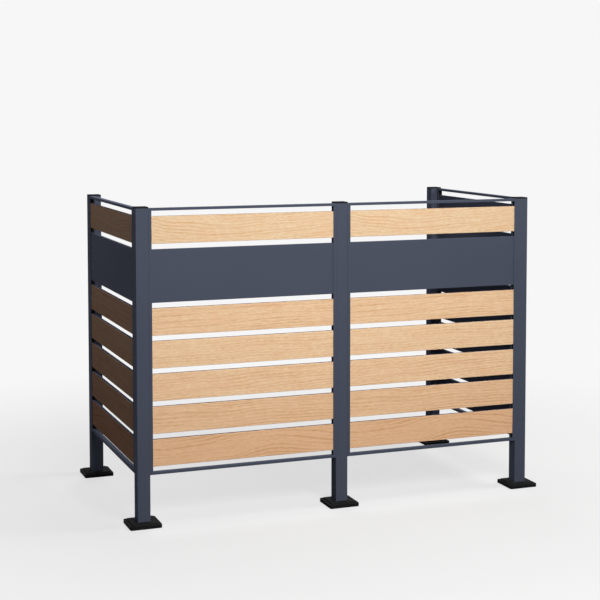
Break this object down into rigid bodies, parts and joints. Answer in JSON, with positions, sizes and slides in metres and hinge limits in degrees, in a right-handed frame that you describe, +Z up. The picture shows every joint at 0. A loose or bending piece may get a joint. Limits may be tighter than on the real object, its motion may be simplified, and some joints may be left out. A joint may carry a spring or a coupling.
{
  "type": "wheelie bin store",
  "caption": "Slatted garden screen round two bin bays: coated square posts, oak-effect slats in channels, a wide dark panel near the top, open at the back and above.",
  "frame": {"origin": "on the ground, at the middle of the plan of the whole store, foot covers included", "axes": "+X along the long front, to the right seen from outside it; +Y from the front to the open back; +Z up"},
  "size_m": [2.088, 1.118, 1.458],
  "materials": {
    "coated_frame": "fine-textured anthracite powder coat on aluminium",
    "coated_panel": "fine-textured anthracite powder coat on a hollow aluminium panel",
    "oak_effect_slat": "light oak decor with a satin grain on the outer face of a hollow aluminium slat, anthracite on its edges and back",
    "black_plastic": "moulded, weatherproof, satin",
    "packing_rubber": "matt",
    "stainless_fixings": "bright stainless steel, hidden inside the rails and channels"
  },
  "bodies": {
    "root": {"post_front_left": "coated_frame", "foot_cover_front_left": "black_plastic", "post_front_middle": "coated_frame", "foot_cover_front_middle": "black_plastic", "post_front_right": "coated_frame", "foot_cover_front_right": "black_plastic", "post_back_left": "coated_frame", "foot_cover_back_left": "black_plastic", "post_back_right": "coated_frame", "foot_cover_back_right": "black_plastic", "post_caps": "black_plastic", "front_left_bottom_rail": "coated_frame", "front_left_top_rail": "coated_frame", "front_left_left_channel": "coated_frame", "front_left_right_channel": "coated_frame", "front_left_wide_panel": "coated_panel", "front_left_slat_1": "oak_effect_slat", "front_left_slat_2": "oak_effect_slat", "front_left_slat_3": "oak_effect_slat", "front_left_slat_4": "oak_effect_slat", "front_left_slat_5": "oak_effect_slat", "front_left_slat_6": "oak_effect_slat", "front_right_bottom_rail": "coated_frame", "front_right_top_rail": "coated_frame", "front_right_left_channel": "coated_frame", "front_right_right_channel": "coated_frame", "front_right_wide_panel": "coated_panel", "front_right_slat_1": "oak_effect_slat", "front_right_slat_2": "oak_effect_slat", "front_right_slat_3": "oak_effect_slat", "front_right_slat_4": "oak_effect_slat", "front_right_slat_5": "oak_effect_slat", "front_right_slat_6": "oak_effect_slat", "left_side_bottom_rail": "coated_frame", "left_side_top_rail": "coated_frame", "left_side_left_channel": "coated_frame", "left_side_right_channel": "coated_frame", "left_side_wide_panel": "coated_panel", "left_side_slat_1": "oak_effect_slat", "left_side_slat_2": "oak_effect_slat", "left_side_slat_3": "oak_effect_slat", "left_side_slat_4": "oak_effect_slat", "left_side_slat_5": "oak_effect_slat", "left_side_slat_6": "oak_effect_slat", "right_side_bottom_rail": "coated_frame", "right_side_top_rail": "coated_frame", "right_side_left_channel": "coated_frame", "right_side_right_channel": "coated_frame", "right_side_wide_panel": "coated_panel", "right_side_slat_1": "oak_effect_slat", "right_side_slat_2": "oak_effect_slat", "right_side_slat_3": "oak_effect_slat", "right_side_slat_4": "oak_effect_slat", "right_side_slat_5": "oak_effect_slat", "right_side_slat_6": "oak_effect_slat", "slat_spacers": "black_plastic", "packing_strips": "packing_rubber", "rail_brackets": "stainless_fixings"}
  },
  "joints": []
}
